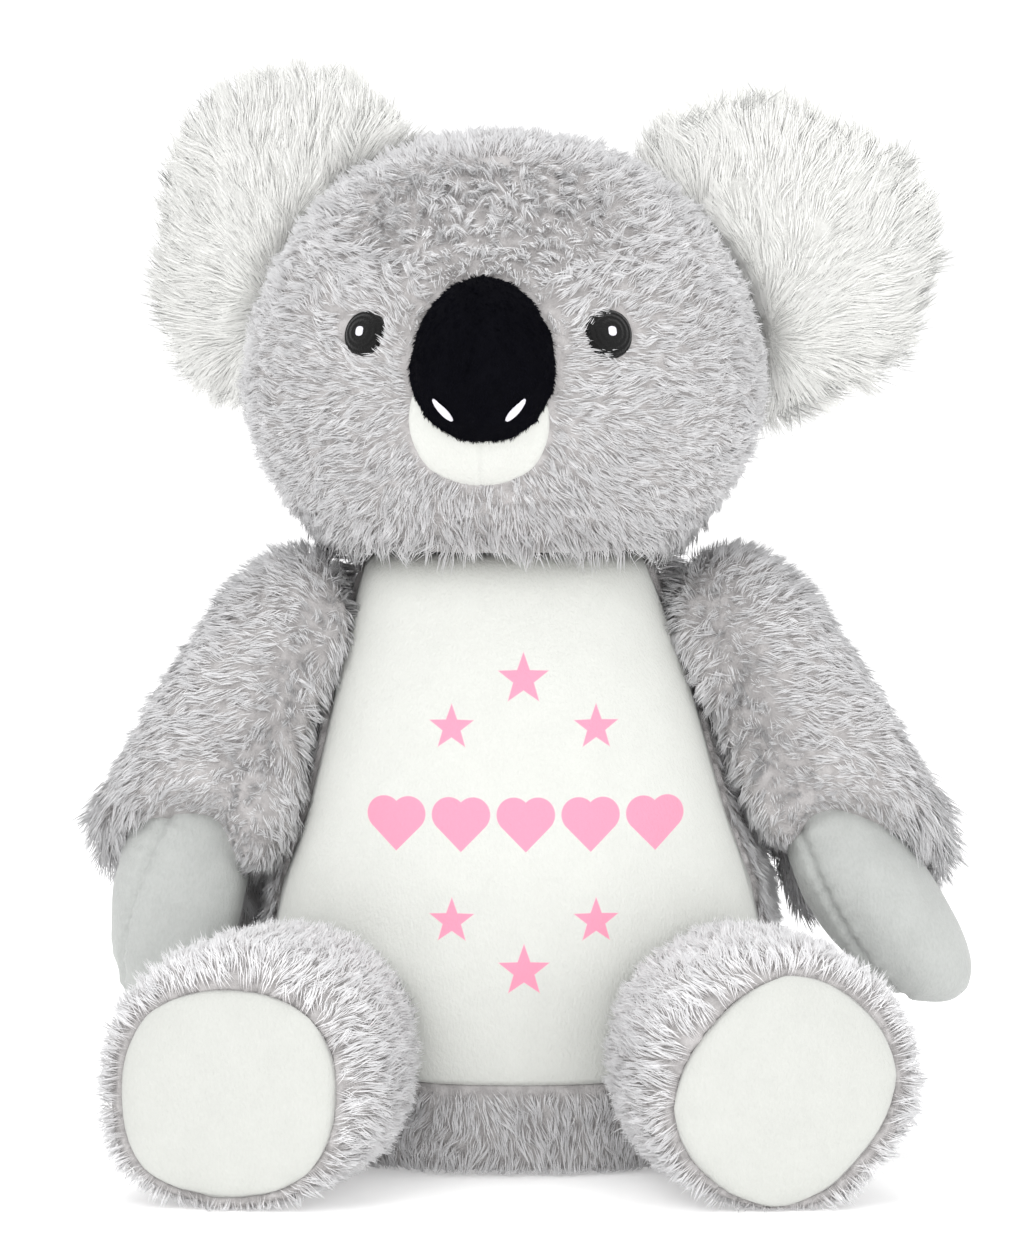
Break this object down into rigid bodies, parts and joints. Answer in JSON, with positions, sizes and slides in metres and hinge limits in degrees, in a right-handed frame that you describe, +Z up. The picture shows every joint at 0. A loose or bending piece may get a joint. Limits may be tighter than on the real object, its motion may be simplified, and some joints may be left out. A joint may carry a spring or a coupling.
{
  "type": "plush koala",
  "caption": "Sitting plush koala of grey fur with big white ears, a dark padded nose, a smooth white belly panel and smooth soles, on sewn limbs that flex.",
  "frame": {"origin": "centre of the flat seat that the toy sits on, under the neck", "axes": "+Z up; the toy faces -Y, so +X is the toy's own left side; its head is turned 9 degrees towards its own right, as it sits in the picture"},
  "size_m": [0.24, 0.203, 0.294],
  "materials": {
    "grey_fur": "long soft pile plush",
    "white_fur": "long fluffy pile plush",
    "white_velour": "short smooth velour",
    "grey_velour": "short smooth velour",
    "black_velour": "short velour",
    "dark_thread": "satin embroidery thread",
    "pale_thread": "satin embroidery thread",
    "stuffing": "loose polyester fibre"
  },
  "bodies": {
    "torso": {"torso_fur": "grey_fur", "belly_panel": "white_velour", "torso_stuffing": "stuffing"},
    "head": {"head_fur": "grey_fur", "head_stuffing": "stuffing", "nose_pad": "black_velour", "chin_patch": "white_velour", "nostril_right": "pale_thread", "eye_right": "dark_thread", "eye_glint_right": "pale_thread", "nostril_left": "pale_thread", "eye_left": "dark_thread", "eye_glint_left": "pale_thread"},
    "ear_right": {"ear_front_right": "white_fur", "ear_back_right": "grey_fur"},
    "arm_right": {"sleeve_right": "grey_fur", "paw_right": "grey_velour", "arm_stuffing_right": "stuffing"},
    "leg_right": {"leg_fur_right": "grey_fur", "sole_right": "white_velour", "leg_stuffing_right": "stuffing"},
    "ear_left": {"ear_front_left": "white_fur", "ear_back_left": "grey_fur"},
    "arm_left": {"sleeve_left": "grey_fur", "paw_left": "grey_velour", "arm_stuffing_left": "stuffing"},
    "leg_left": {"leg_fur_left": "grey_fur", "sole_left": "white_velour", "leg_stuffing_left": "stuffing"}
  },
  "joints": [
    {"name": "neck_turn", "type": "hinge", "parent": "torso", "child": "head", "pos_m": [-0.0045, 0, 0.166], "axis": [0, 0, 1], "range_deg": [-30, 30], "stiffness_Nm_per_rad": 0.4},
    {"name": "ear_fold_right", "type": "hinge", "parent": "head", "child": "ear_right", "pos_m": [-0.05561, 0.02609, 0.251], "axis": [0.341, -0.0268, 0.9397], "range_deg": [-20, 20], "stiffness_Nm_per_rad": 0.05},
    {"name": "ear_fold_left", "type": "hinge", "parent": "head", "child": "ear_left", "pos_m": [0.05006, 0.01777, 0.251], "axis": [-0.341, 0.0268, 0.9397], "range_deg": [-20, 20], "stiffness_Nm_per_rad": 0.05},
    {"name": "shoulder_right", "type": "hinge", "parent": "torso", "child": "arm_right", "pos_m": [-0.051, -0.008, 0.15], "axis": [-0.5794, 0.7689, 0.2702], "range_deg": [-8, 42], "stiffness_Nm_per_rad": 0.25},
    {"name": "shoulder_left", "type": "hinge", "parent": "torso", "child": "arm_left", "pos_m": [0.049, -0.008, 0.15], "axis": [-0.5794, -0.7689, -0.2702], "range_deg": [-8, 42], "stiffness_Nm_per_rad": 0.25},
    {"name": "hip_right", "type": "hinge", "parent": "torso", "child": "leg_right", "pos_m": [-0.049, -0.052, 0], "axis": [0, 0, 1], "range_deg": [-15, 12], "stiffness_Nm_per_rad": 0.3},
    {"name": "hip_left", "type": "hinge", "parent": "torso", "child": "leg_left", "pos_m": [0.047, -0.052, 0], "axis": [0, 0, 1], "range_deg": [-12, 15], "stiffness_Nm_per_rad": 0.3}
  ]
}
